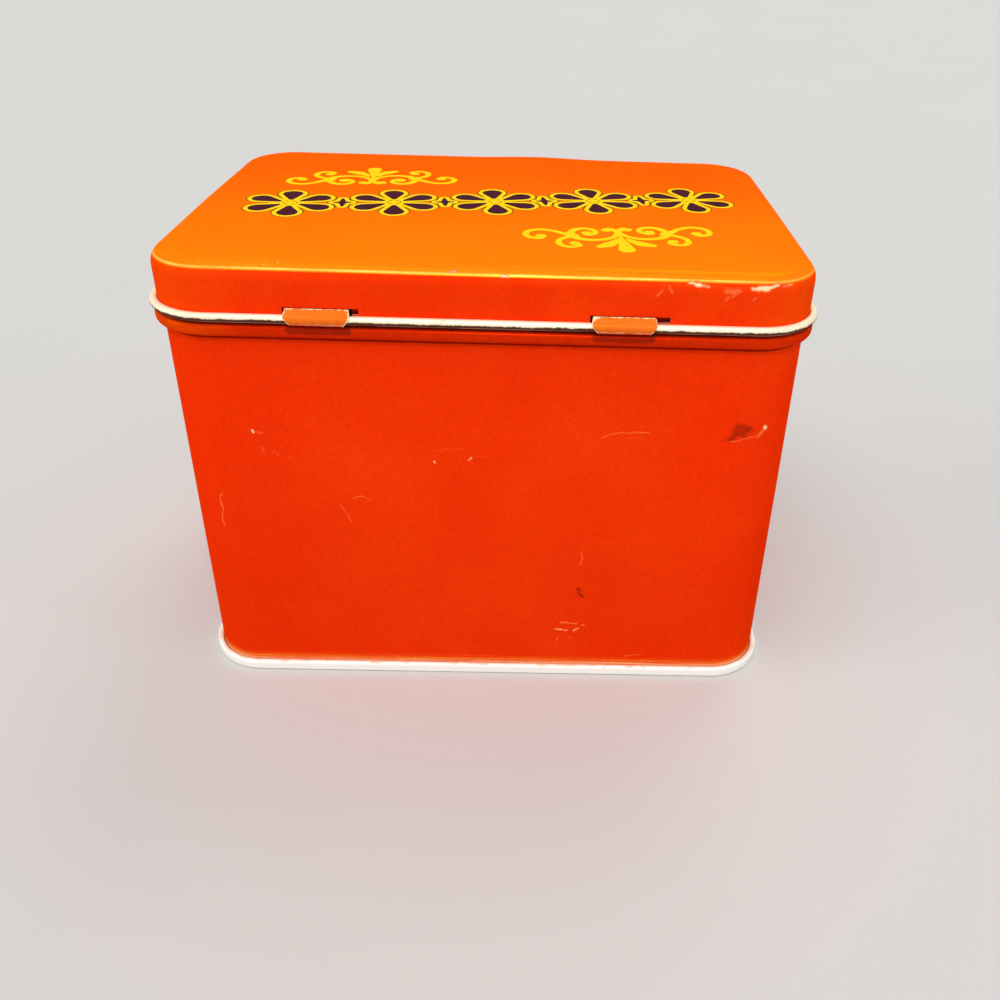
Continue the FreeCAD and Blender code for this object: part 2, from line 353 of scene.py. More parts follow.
def body_line(s, h):
    """The body sheet from the tip of its seam hook to the end of the mouth hem."""
    body_hook = seam_layers(s)[1]
    seam_turn = (body_hook - s.wall_middle) / 2
    hook_top = s.seam_height - s.end_sheet - s.seam_gap
    turn_up = s.end_sheet + s.seam_gap + s.sheet / 2 + seam_turn
    fold = (s.hem_gap + s.sheet) / 2
    root = root_height(s, h)
    mouth = s.hinge_up + s.neck_rise - s.sheet / 2 - fold
    line = SheetLine(body_hook, hook_top, -90)
    line.run(hook_top - turn_up)
    line.bend(seam_turn, -180)
    wall = root - s.bead_height - turn_up
    for _ in range(WALL_ROWS):
        line.run(wall / WALL_ROWS)
    add_bead(line, s)
    line.mark("window foot")
    line.run(hook_length(s, h))
    line.mark("window head")
    line.run(mouth - root - hook_length(s, h))
    line.bend(fold, 180)
    line.run(s.hem_depth - s.sheet / 2 - fold)
    return line


def add_bead(line, s):
    """The bead: out from the wall, round its crown and back down a slope to the neck."""
    shoulder = s.bead_shoulder
    slope = 90 + math.degrees(s.bead_slope)
    lean = math.cos(math.radians(slope))
    rise = math.sin(math.radians(slope))
    across = s.bead_proud + s.wall_middle - s.neck_middle - shoulder - s.bead_fillet
    back = (across + (shoulder + s.bead_fillet) * lean) / math.cos(s.bead_slope)
    top = (shoulder + s.bead_fillet) * rise - back * math.sin(s.bead_slope)
    line.bend(s.bead_fillet, -90)
    line.run(s.bead_proud - s.bead_fillet - s.bead_crown)
    line.bend(s.bead_crown, 90)
    line.run(s.bead_height - s.bead_fillet - s.bead_crown - top)
    line.bend(shoulder, slope)
    line.run(back)
    line.bend(s.bead_fillet, -slope)


def base_line(s):
    """The base end from its hook inside the seam to the edge of the countersunk panel."""
    end_hook, _, seam_wall = seam_layers(s)
    seat = -s.wall_inset - s.sheet - s.end_sheet / 2
    fold = (seam_wall - end_hook) / 2
    shoulder = s.seam_height - s.end_sheet / 2 - fold
    foot = s.end_sheet / 2 + s.foot_bend
    hook_low = 2 * (s.end_sheet + s.seam_gap) + s.sheet
    panel_turn = s.panel_bend + s.end_sheet / 2
    line = SheetLine(end_hook, hook_low, 90)
    line.run(shoulder - hook_low)
    line.bend(fold, -180)
    line.run(shoulder - foot)
    line.bend(s.foot_bend, -90)
    line.run(seam_wall - seat - 2 * s.foot_bend)
    line.bend(s.foot_bend, -90)
    line.run(s.countersink + s.end_sheet / 2 - panel_turn - foot)
    line.bend(panel_turn, 90)
    return line


def slot_heights(s, h):
    """Foot of the slot at the hook, foot beside it and head, all on the skirt's middle."""
    swept = s.curl_radius + h.clearance / 2
    foot = s.hinge_up + math.sqrt(swept ** 2 - (s.hinge_out + s.sheet) ** 2)
    lip = s.hinge_up + s.curl_radius + h.slot_lip
    tip = math.hypot(hook_radius(s, h) + s.sheet / 2, hook_flat(s, h)) + h.slot_headroom
    return foot, lip, s.hinge_up + math.sqrt(tip ** 2 - s.hinge_out ** 2)


def lid_line(s, h):
    """Lid sheet from the roll's middle up the skirt and round the top bend."""
    line = SheetLine(-s.sheet / 2, s.hinge_up, 90)
    low = s.hinge_up
    for name, high in zip(("slot foot", "lip", "slot head"), slot_heights(s, h)):
        line.go(high - low)
        line.mark(name)
        low = high
    line.run(s.height - s.top_bend - low)
    line.bend(s.top_bend - s.sheet / 2, 90)
    return line


def curl_line(s):
    """The rolled edge: down from the skirt, out, up and back to just short of the skirt."""
    line = SheetLine(-s.sheet / 2, s.hinge_up, -90)
    line.bend(s.curl_radius - s.sheet / 2, 360 - math.degrees(s.curl_opening))
    return line


def marks_along(reach, breaks):
    """Places along a flat side from -reach to reach, evenly spaced but exact at the breaks."""
    parts = math.ceil(2 * reach / WALL_STEP)
    even = [-reach + 2 * reach * i / parts for i in range(1, parts)]
    clear = [v for v in even if all(abs(v - b) > 0.4 * WALL_STEP for b in breaks)]
    return sorted([-reach, reach, *clear, *breaks])


def outline(s, breaks_x=(), breaks_y=()):
    """Points round the skirt's outer face with their outward directions, anticlockwise."""
    flat_x = s.half_x - s.corner_radius
    flat_y = s.half_y - s.corner_radius
    along_x = marks_along(flat_x, breaks_x)
    along_y = marks_along(flat_y, breaks_y)
    sides = (
        [Vector((s.half_x, y)) for y in along_y],
        [Vector((x, s.half_y)) for x in reversed(along_x)],
        [Vector((-s.half_x, y)) for y in reversed(along_y)],
        [Vector((x, -s.half_y)) for x in along_x],
    )
    centres = ((flat_x, flat_y), (-flat_x, flat_y), (-flat_x, -flat_y), (flat_x, -flat_y))
    found = []
    for side, (points, centre) in enumerate(zip(sides, centres)):
        facing = math.radians(90 * side)
        straight = Vector((math.cos(facing), math.sin(facing)))
        found += [(point, straight) for point in points]
        for i in range(1, CORNER_PARTS):
            angle = facing + math.pi / 2 * i / CORNER_PARTS
            away = Vector((math.cos(angle), math.sin(angle)))
            found.append((Vector(centre) + away * s.corner_radius, away))
    return found


def carried_round(line, ring, left_out=()):
    """A line of sheet carried round the outline, without the cells inside the openings.

    Each opening is (lowest x, highest x, first point, last point) on the hinge side."""
    mesh = bmesh.new()
    grid = []
    for point, away in ring:
        column = []
        for out, up in line.points:
            place = point + away * out
            column.append(mesh.verts.new((place.x, place.y, up)))
        grid.append(column)
    for i, column in enumerate(grid):
        after = grid[(i + 1) % len(grid)]
        middle = (ring[i][0] + ring[(i + 1) % len(ring)][0]) / 2
        for j in range(len(line.points) - 1):
            if not opened(middle, j, left_out):
                mesh.faces.new((column[j], after[j], after[j + 1], column[j + 1]))
    return mesh, grid


def opened(middle, j, left_out):
    """Whether this cell lies in one of the openings on the hinge side."""
    return middle.y > 0 and any(
        low < middle.x < high and first <= j < last for low, high, first, last in left_out)


def filled(mesh, rim, level, shapes=()):
    """A flat panel inside a rim of points, cut along printed shapes, which give its inks."""
    rim_points = [Vector((v.co.x, v.co.y)) / MM for v in rim]
    points = list(rim_points)
    faces = [list(range(len(points)))]
    inks = [SKY]
    for shape, ink in shapes:
        around = list(range(len(points), len(points) + len(shape)))
        faces.append(around if turns_left(shape) else around[::-1])
        points += [Vector(p) / MM for p in shape]
        inks.append(ink)
    reach_x = max(p.x for p in rim_points)
    reach_y = max(p.y for p in rim_points)
    step = TOP_STEP / MM
    for x in evenly(reach_x, step):
        for y in evenly(reach_y, step):
            if inside_corners(x, y, reach_x, reach_y, step):
                points.append(Vector((x, y)))
    flat, _, cells, from_points, _, from_faces = delaunay_2d_cdt(points, [], faces, 1, 1e-5)
    made = []
    for place, sources in zip(flat, from_points):
        on_rim = [k for k in sources if k < len(rim)]
        made.append(rim[on_rim[0]] if on_rim
                    else mesh.verts.new((place.x * MM, place.y * MM, level)))
    for cell, sources in zip(cells, from_faces):
        face = mesh.faces.new([made[k] for k in cell])
        face.material_index = max(inks[k] for k in sources)


def turns_left(shape):
    """Whether a closed outline runs anticlockwise."""
    return sum(a.cross(b) for a, b in zip(shape, [*shape[1:], shape[0]])) > 0


def evenly(reach, step):
    """Places from just inside -reach to just inside reach."""
    parts = max(2, round(2 * reach / step))
    return [-reach + 2 * reach * i / parts for i in range(1, parts)]


def inside_corners(x, y, reach_x, reach_y, step):
    """Whether a point keeps clear of the rounded corners of a panel."""
    rounding = 4 * step
    dx = max(0.0, abs(x) - reach_x + rounding)
    dy = max(0.0, abs(y) - reach_y + rounding)
    return math.hypot(dx, dy) < rounding - 0.4 * step


def grown(mesh, name, thickness, materials, offsets):
    """A middle surface made into a piece of sheet, with its own back and edge materials."""
    mesh.normal_update()
    data = bpy.data.meshes.new(name)
    mesh.to_mesh(data)
    mesh.free()
    piece = bpy.data.objects.new(name, data)
    bpy.context.scene.collection.objects.link(piece)
    for material in materials:
        data.materials.append(material)
    solid = piece.modifiers.new("Sheet", "SOLIDIFY")
    solid.thickness = thickness
    solid.offset = 0.0
    solid.use_even_offset = True
    solid.use_quality_normals = True
    solid.material_offset, solid.material_offset_rim = offsets
    return piece


def settled(piece):
    """The piece with its modifiers made into its own mesh, smooth but for its sharp edges."""
    graph = bpy.context.evaluated_depsgraph_get()
    data = bpy.data.meshes.new_from_object(piece.evaluated_get(graph))
    plain = piece.data
    piece.modifiers.clear()
    piece.data = data
    data.name = piece.name
    bpy.data.meshes.remove(plain)
    data.shade_smooth()
    data.set_sharp_from_angle(angle=SHARP_ANGLE)
    return piece


def placed(piece, node, body):
    """The piece on its body, standing for its node."""
    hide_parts(node)
    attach(piece, body)


def eased(low, high, value):
    """0 below low, 1 above high and smooth between."""
    t = min(1.0, max(0.0, (value - low) / (high - low)))
    return t * t * (3 - 2 * t)


def hump(value, middle, width):
    """A smooth rise of 1 at the middle that is gone at the width's ends."""
    return eased(width, 0.0, abs(value - middle)) if abs(value - middle) < width else 0.0


# Shader values

# Printed lacquer's own sockets: a warm sheen, with no white veil at a grazing angle
LACQUER = {"Metallic": 0.12, "Specular_IOR_Level": 0.0, "Specular_Tint": (1.0, 0.45, 0.06, 1.0)}


class Term:
    """A number that varies over a surface; sums on it add Math nodes."""

    def __init__(self, net, socket):
        self.net = net
        self.socket = socket

    def __add__(self, other):
        return self.net.maths("ADD", self, other)

    __radd__ = __add__

    def __mul__(self, other):
        return self.net.maths("MULTIPLY", self, other)

    __rmul__ = __mul__

    def __sub__(self, other):
        return self.net.maths("SUBTRACT", self, other)

    def __rsub__(self, other):
        return self.net.maths("SUBTRACT", other, self)

    def __abs__(self):
        return self.net.maths("ABSOLUTE", self)

    def top(self, other):
        """The larger of the two."""
        return self.net.maths("MAXIMUM", self, other)

    def low(self, other):
        """The smaller of the two."""
        return self.net.maths("MINIMUM", self, other)

    def step(self, start, end):
        """0 at start, 1 at end and smooth between; start may be the larger."""
        return self.net.term("ShaderNodeMapRange", {"interpolation_type": "SMOOTHSTEP"},
                             {"Value": self, "From Min": start, "From Max": end})


class Net:
    """One material's nodes, with one way to add a node."""

    def __init__(self, name):
        self.material = bpy.data.materials.new(name)
        self.material.use_nodes = True
        self.tree = self.material.node_tree
        self.tree.nodes.clear()

    def node(self, kind, settings=None, sockets=None):
        """A node of this kind: its settings first, then the values or links of its sockets."""
        made = self.tree.nodes.new(kind)
        for name, value in (settings or {}).items():
            setattr(made, name, value)
        for name, value in (sockets or {}).items():
            if isinstance(value, Term):
                self.tree.links.new(value.socket, made.inputs[name])
            else:
                made.inputs[name].default_value = value
        return made

    def term(self, kind, settings=None, sockets=None, output=0):
        """One output of such a node."""
        return Term(self, self.node(kind, settings, sockets).outputs[output])

    def maths(self, operation, *values):
        return self.term("ShaderNodeMath", {"operation": operation}, dict(enumerate(values)))

    def vector(self, operation, *values):
        return self.term("ShaderNodeVectorMath", {"operation": operation},
                         dict(enumerate(values)))

    def mix(self, share, first, second):
        """From the first colour to the second."""
        return self.term("ShaderNodeMix", {"data_type": "RGBA"},
                         {0: share, 6: colour(first), 7: colour(second)}, 2)

    def shaded(self, tone, share):
        """A colour times a number."""
        tone = tone if isinstance(tone, Term) else tuple(tone)[:3]
        grey = self.term("ShaderNodeCombineXYZ", None, {0: share, 1: share, 2: share})
        return self.vector("MULTIPLY", tone, grey)

    def place(self):
        """Millimetres in the piece's own frame."""
        found = self.term("ShaderNodeTexCoord", None, None, "Object")
        return self.term("ShaderNodeVectorMath", {"operation": "SCALE"},
                         {0: found, "Scale": 1 / MM})

    def facing(self):
        """The surface's direction in the piece's own frame."""
        return self.term("ShaderNodeTexCoord", None, None, "Normal")

    def parts(self, found):
        """The three numbers of a vector."""
        split = self.node("ShaderNodeSeparateXYZ", None, {0: found})
        return [Term(self, output) for output in split.outputs]

    def stretched(self, place, across, along, up):
        """A place squeezed along each axis."""
        return self.vector("MULTIPLY", place, (across, along, up))

    def clouds(self, place, scale, detail=2.0, rough=0.5):
        """Soft noise about 0.5."""
        return self.term("ShaderNodeTexNoise", None,
                         {"Vector": place, "Scale": scale, "Detail": detail,
                          "Roughness": rough})

    def cells(self, place, scale):
        """Distance to the nearest of scattered points, in cells."""
        return self.term("ShaderNodeTexVoronoi", None, {"Vector": place, "Scale": scale})

    def bump(self, height, depth, strength=1.0):
        """A surface raised by this height times this depth."""
        return self.term("ShaderNodeBump", None,
                         {"Height": height, "Strength": strength, "Distance": depth})

    def finish(self, **sockets):
        """The surface itself, with constants and varying values by socket name."""
        named = {name.replace("_", " "): value for name, value in sockets.items()}
        surface = self.node("ShaderNodeBsdfPrincipled", None, named)
        output = self.node("ShaderNodeOutputMaterial")
        self.tree.links.new(surface.outputs[0], output.inputs[0])
        return self.material


def colour(value):
    """A colour with its opacity, or what already varies."""
    return value if isinstance(value, Term) else (*tuple(value)[:3], 1.0)


# Marks on the hinge side: (width, depth, then the points (x, up) that the mark runs through), in
# millimetres; depth 1 bares the metal and 0.4 only scuffs the print
PALE_MARKS = (
    (0.50, 1.0, (48.3, 64.8), (48.1, 64.3)),
    (0.62, 0.30, (47.5, 64.4), (46.3, 64.0)),
    (0.50, 0.26, (46.9, 61.0), (46.1, 59.0)),
    (0.70, 0.22, (44.3, 59.8), (43.6, 58.9)),
    (0.80, 0.18, (41.5, 58.9), (41.0, 58.0)),
    (0.34, 0.36, (28.6, 48.6), (27.6, 49.0), (26.3, 48.9), (25.1, 48.1)),
    (0.34, 0.30, (31.5, 46.8), (30.3, 44.6), (29.5, 42.2)),
    (0.42, 0.95, (10.8, 58.1), (10.7, 57.9)),
    (0.36, 0.95, (3.5, 58.7), (2.9, 59.3)),
    (0.22, 0.26, (10.2, 61.1), (7.4, 61.3), (4.0, 61.1)),
    (0.30, 0.22, (1.7, 59.6), (-0.4, 59.6)),
    (0.26, 0.45, (-24.3, 64.8), (-26.2, 65.7), (-28.3, 66.2), (-30.4, 66.1), (-34.4, 66.4)),
    (0.24, 0.28, (-30.1, 64.8), (-32.6, 65.1)),
    (0.22, 0.50, (-51.3, 64.6), (-53.5, 65.0), (-55.9, 65.9)),
    (0.75, 1.05, (-58.5, 67.8), (-58.8, 67.5)),
    (0.95, 0.46, (-58.5, 67.2), (-57.4, 65.8)),
    (1.30, 0.20, (-57.8, 66.4), (-56.2, 65.8)),
    (0.36, 0.40, (57.0, 48.8), (57.6, 47.2), (57.3, 44.9), (57.9, 42.1), (57.6, 40.0)),
    (0.26, 0.44, (-21.5, 35.3), (-21.8, 33.7), (-21.4, 31.8)),
    (0.42, 0.55, (-17.3, 15.0), (-19.2, 14.8), (-21.4, 14.7)),
    (0.46, 0.80, (-16.3, 12.8), (-19.0, 12.7)),
    (0.44, 0.75, (-20.6, 12.5), (-21.6, 13.2)),
    (0.36, 0.50, (-22.5, 14.2), (-23.0, 14.2)),
    (0.30, 0.38, (-17.0, 10.7), (-16.4, 9.5)),
    (0.28, 0.34, (-19.4, 10.5), (-20.3, 10.3)),
    (0.26, 0.40, (-33.0, 4.9), (-36.9, 5.3)),
)
# Dark marks, listed like the pale ones: smudges on the wall, painted shade in the slots and painted
# shadows under the hooks.
DARK_MARKS = (
    (1.90, 0.62, (-52.9, 68.0), (-55.0, 67.6)),
    (2.00, 0.62, (-52.5, 66.8), (-54.2, 66.6)),
    (1.40, 0.52, (-51.3, 65.0), (-52.6, 66.2)),
    # Painted shade in the two slots.
    (1.20, 1.30, (-36.8, 91.0), (-34.2, 91.0)),
    (1.20, 1.30, (23.8, 91.0), (25.8, 91.0)),
    # Painted shadows of the two hooks on the bead below them.
    (1.40, 1.00, (-33.0, 88.0), (-22.0, 88.0)),
    (1.40, 1.00, (26.6, 88.0), (37.6, 88.0)),
    (1.10, 0.55, (-21.0, 25.0), (-21.3, 24.3)),
    (0.80, 0.65, (-21.4, 23.7), (-22.4, 22.6)),
)
# The same on the lid's skirt and bend; the first seven, on the front bend, are painted highlights
# drawn as bared metal
LID_MARKS = (
    (0.55, 0.85, (-39.4, 99.2), (-40.6, 99.1)),
    (0.80, 1.05, (-40.6, 99.1), (-41.6, 99.0)),
    (0.50, 0.80, (-41.6, 99.0), (-43.0, 98.8)),
    (0.70, 0.95, (-51.6, 98.5), (-52.6, 98.5)),
    (1.00, 1.25, (-52.8, 98.5), (-54.4, 98.6)),
    (0.65, 1.00, (-54.6, 98.8), (-56.6, 99.3)),
    (0.50, 0.60, (-57.6, 99.0), (-59.3, 99.3)),
    (0.60, 0.34, (-33.2, 96.8), (-34.3, 98.0)),
    (0.55, 0.34, (-36.2, 97.4), (-35.6, 98.4)),
    (1.00, 0.46, (-46.6, 98.0), (-47.8, 97.8), (-49.1, 98.1)),
    (0.55, 0.36, (-46.7, 96.0), (-47.2, 96.8)),
    (0.55, 0.40, (-47.9, 97.0), (-48.8, 97.7)),
    (0.55, 0.36, (-51.9, 96.2), (-52.4, 96.8)),
    (0.45, 0.85, (-3.5, 99.5), (-4.5, 99.6)),
    (0.40, 0.75, (6.6, 100.0), (5.3, 100.1)),
)
HINGE_SIDE = (44.0, 44.6)     # how far back the marks begin, in millimetres
GRAZE = (0.06, 0.50)          # depth at which a mark first shows, and where it is fully scuffed
BARED = (0.50, 1.05)          # depth at which the metal starts to show, and is bare
SMUDGE_AND_SHADE = (0.05, 0.70)         # depth at which a dark mark first shows, and where it is full


def struck(net, place, marks):
    """How deep these marks are at a place on the hinge side."""
    wobble = net.term("ShaderNodeTexNoise", None, {"Vector": place, "Scale": 0.5}, "Color")
    shifted = net.vector("MULTIPLY_ADD", wobble, (0.9, 0.0, 0.9), (-0.45, 0.0, -0.45))
    flat = net.vector("MULTIPLY_ADD", place, (1.0, 0.0, 1.0), shifted)
    ragged = net.clouds(place, 1.1, 2.0, 0.6)
    total = None
    for width, depth, *points in marks:
        for (x, up), (end_x, end_up) in zip(points, points[1:]):
            start = Vector((x, 0.0, up))
            run = Vector((end_x, 0.0, end_up)) - start
            toward = net.vector("SUBTRACT", flat, start)
            dot = net.term("ShaderNodeVectorMath", {"operation": "DOT_PRODUCT"},
                           {0: toward, 1: run / run.length_squared}, "Value")
            foot = net.term("ShaderNodeVectorMath", {"operation": "SCALE"},
                            {0: run, "Scale": dot.top(0.0).low(1.0)})
            away = net.term("ShaderNodeVectorMath", {"operation": "DISTANCE"},
                            {0: toward, 1: foot}, "Value")
            shown = away.step(width, 0.0) * depth
            total = shown if total is None else total.top(shown)
    hinge_side = net.parts(place)[1].step(*HINGE_SIDE)
    return total * (0.35 + ragged * 1.3) * hinge_side


def scratches(net, place):
    """Fine scattered hairlines, and a patchiness that hides most of them."""
    lines = None
    for across, up, seed in ((0.05, 0.9, 3.1), (0.5, 0.05, 7.7)):
        leaning = net.term("ShaderNodeVectorRotate", {"rotation_type": "Y_AXIS"},
                           {"Vector": place, "Angle": 0.12 * seed})
        squeezed = net.stretched(leaning, across, across, up)
        moved = net.vector("ADD", squeezed, (seed, seed * 1.7, seed * 0.6))
        hair = abs(net.clouds(moved, 1.0, 2.0, 0.5) - 0.5).step(0.0035, 0.0)
        lines = hair if lines is None else lines.top(hair)
    patches = net.clouds(place, 0.055, 2.0).step(0.60, 0.72)
    return lines * patches


def red_ground(net, tones, place, folds):
    """The body's red, with painted light: painted shade over the bead and neck, a painted shadow in
    the bead's fold, a painted highlight at one end of the bead, a streaked painted reflection of the
    seam at the foot, and darker towards the bottom.
    """
    across, back, up = net.parts(place)
    under_bead, seam = folds
    drift = net.clouds(place, 0.03, 3.0, 0.55)
    ground = net.mix(drift.step(0.35, 0.75) * 0.5, tones.red, tones.warm_red)
    ragged = net.clouds(place, 0.6, 3.0, 0.6)
    streaks = net.clouds(net.stretched(place, 0.05, 0.05, 3.0), 1.0, 2.0)
    # Painted shade: the wall is darker towards the bottom.
    ground = net.shaded(ground, 0.90 + up.step(8.0, 70.0) * 0.10)
    over = up - seam + ragged * 0.4
    # Painted reflection of the white seam in the glossy foot of the wall: a streaked warm band, a thin
    # line over it, and a cream edge right at the seam.
    seam_reflection_mask = over.step(1.60, 1.25) * (0.35 + streaks.step(0.35, 0.60) * 0.6)
    ground = net.mix(seam_reflection_mask.top(abs(over - 1.9).step(0.16, 0.02) * 0.45), ground, tones.painted_seam_reflection)
    ground = net.mix(over.step(0.75, 0.35) * streaks.step(0.30, 0.60) * 0.6, ground, tones.worn)
    # Painted shade: the bead and everything above it darken towards the crease colour.
    bead = (up - under_bead).step(-0.1, 0.5)
    ground = net.mix(bead * (0.30 + ragged * 0.2), ground, tones.painted_crease_shade)
    # Painted highlight: the bead turns orange at its right-hand end, on the hinge side.
    on_bead = (up - under_bead).step(3.6, 3.0)
    lit_bead_end = across.step(44.0, 60.0) * back.step(20.0, 36.0) * on_bead
    ground = net.mix(bead * lit_bead_end * (0.25 + ragged * 0.2), ground, tones.orange_front)
    # Painted shadow in the fold where the bead meets the wall.
    fold = (abs(up - under_bead) + ragged * 0.3).step(0.85, 0.4)
    return net.mix(fold * 0.9, ground, tones.painted_crease_shade)


def lid_ground_with_painted_light(net, tones, place):
    """The lid's ground with painted light: orange where it faces up and lighter towards the hinge, red
    down its skirt, lighter at the skirt's ends, and a painted highlight along the top bend.
    """
    across, back, _ = net.parts(place)
    upward = net.parts(net.facing())[2]
    drift = (net.clouds(place, 0.045, 3.0, 0.55) - 0.5) * 30.0
    # Painted sheen: the top's orange lightens from the front towards the hinge.
    painted_top_light = net.mix((back + drift).step(-40.0, 46.0), tones.orange_front, tones.orange_back)
    skirt = net.mix(drift.step(-3.0, 5.0) * 0.5, tones.red, tones.warm_red)
    # Painted light: the skirt's ends lean towards orange.
    skirt = net.mix(abs(across).step(46.0, 68.0) * 0.4, skirt, tones.orange_front)
    # Painted light: the red print turns orange where the surface faces up.
    ground = net.mix(upward.step(0.48, 0.56), skirt, painted_top_light)
    patchy = net.clouds(place, 0.06, 2.0).step(0.35, 0.62)
    # Painted highlight: a thin cream line along the top bend, partly worn print.
    line = (abs(upward - 0.63) + drift * 0.002).step(0.075, 0.015) * (patchy * 0.55 + 0.35)
    return net.mix(line, ground, tones.wear_and_highlight)


def printed(name, tones, ground=None, pale=(), dark=(), folds=()):
    """Glossy printed tinplate: an even ink with fine grain, hairlines, specks and worn bends, plus the
    given dark and pale marks, among which are painted shade, shadows and highlights.
    """
    net = Net(name)
    place = net.place()
    upward = net.parts(net.facing())[2]
    if ground is None:
        ground = (red_ground(net, tones, place, folds) if folds
                  else lid_ground_with_painted_light(net, tones, place))
    mottle = net.clouds(place, 0.045, 3.0, 0.55)
    grain = net.clouds(place, 0.9, 4.0, 0.85)
    ground = net.shaded(ground, 0.74 + mottle * 0.08 + grain * 0.48)
    hairs = scratches(net, place)
    ground = net.mix(hairs * 0.20, ground, tones.scuffed)
    pits = net.cells(net.vector("ADD", place, (31.0, 17.0, 5.0)), 0.21).step(0.045, 0.02)
    ground = net.mix(pits * 0.5, ground, tones.bruise_and_shade)
    bends = (upward * upward) * (1.0 - upward * upward) * 4.0
    chipping = net.clouds(place, 0.75, 3.0, 0.65)
    patchy = net.clouds(place, 0.06, 2.0)
    wear_and_highlight = (chipping * 0.55 + patchy * 0.45 + bends * 0.075).step(0.715, 0.77)
    if dark:
        # Dark marks: smudges, and the painted shade and shadows among DARK_MARKS.
        ground = net.mix(struck(net, place, dark).step(*SMUDGE_AND_SHADE) * 0.7, ground, tones.bruise_and_shade)
    if pale:
        depth = struck(net, place, pale)
        ground = net.mix(depth.step(*GRAZE), ground, tones.scuffed)
        # Pale marks bare the metal; on the lid's front bend some of them are painted highlights.
        wear_and_highlight = wear_and_highlight.top(depth.step(*BARED))
    ground = net.mix(wear_and_highlight, ground, tones.worn)
    smudge = net.clouds(net.stretched(place, 0.05, 0.05, 0.12), 1.0, 3.0, 0.6)
    gloss = 0.15 + smudge * 0.12 + hairs * 0.25 + wear_and_highlight * 0.2
    peel = net.clouds(place, 0.85, 2.0, 0.5)
    relief = peel * 0.35 + grain * 0.10 - hairs * 0.5 - wear_and_highlight * 0.8
    return net.finish(Base_Color=ground, Roughness=gloss,
                      Normal=net.bump(relief, 0.006 * MM), **LACQUER)


def bare_tin(name, tones, dulled_and_shaded=False):
    """Rolled tinplate: warm grey metal with fine rolling lines and faint stains.

    Dulled by handling it is paler and less of a mirror, and its underside gets a painted shade and
    dark reflection in brown, broken in patches."""
    net = Net(name)
    place = net.place()
    rolled = net.clouds(net.stretched(place, 0.25, 0.25, 6.0), 1.0, 3.0, 0.6)
    cloudy = net.clouds(place, 0.07, 4.0, 0.6)
    grain = net.clouds(place, 2.2, 2.0)
    spangle = net.cells(place, 0.45)
    stain = net.clouds(place, 0.16, 4.0, 0.65).step(0.60, 0.74)
    level = (0.88 if dulled_and_shaded else 0.60) + cloudy * 0.16 + rolled * 0.06 - spangle * 0.04
    ground = net.shaded(tones.roll if dulled_and_shaded else tones.tin, level)
    ground = net.mix(stain * 0.35, ground, tones.grime)
    gloss = 0.34 + cloudy * 0.16 + rolled * 0.10 + stain * 0.25
    metal = 0.36
    if dulled_and_shaded:
        upward = net.parts(net.facing())[2]
        ragged = net.clouds(place, 0.45, 4.0, 0.75) - 0.5
        # Painted shade and dark reflection: the roll goes brown where it faces down.
        under = (upward + ragged * 1.1).step(0.14, -0.10)
        bare_below = upward.step(-0.55, -0.95) * cloudy.step(0.30, 0.62) * 0.75
        under = under * (1.0 - bare_below)
        ground = net.mix(under, ground, tones.underside_shade)
        gloss = gloss + under * 0.3
        metal = 0.35 - under * 0.30
    relief = rolled * 0.6 + grain * 0.25
    return net.finish(Base_Color=ground, Metallic=metal, Roughness=gloss,
                      Specular_IOR_Level=0.2, Normal=net.bump(relief, 0.004 * MM))


def enamelled(name, tones):
    """White enamel of the base end, with a few nicks and grime against the wall."""
    net = Net(name)
    place = net.place()
    up = net.parts(place)[2]
    upward = net.parts(net.facing())[2]
    cloudy = net.clouds(place, 0.09, 3.0)
    nicks = net.clouds(net.stretched(place, 0.5, 0.5, 1.1), 1.0, 3.0, 0.7).step(0.70, 0.73)
    dirt = net.clouds(place, 0.35, 3.0, 0.6)
    shoulder = upward.step(0.02, 0.25) * up.step(3.10, 2.85)
    seam = (up + dirt * 0.8).step(2.65, 2.95) * shoulder
    foot = (up - dirt * 0.5).step(0.22, 0.0)
    ground = net.shaded(tones.enamel, 0.95 + cloudy * 0.07)
    ground = net.mix(seam * dirt.step(0.42, 0.64) * 0.50, ground, tones.rust)
    ground = net.mix(foot * 0.3 + nicks * 0.85, ground, tones.grime)
    gloss = 0.24 + cloudy * 0.18 + nicks * 0.3
    relief = net.clouds(place, 0.7, 2.0) * 0.5 - nicks
    return net.finish(Base_Color=ground, Roughness=gloss, Specular_IOR_Level=0.3,
                      Normal=net.bump(relief, 0.01 * MM))


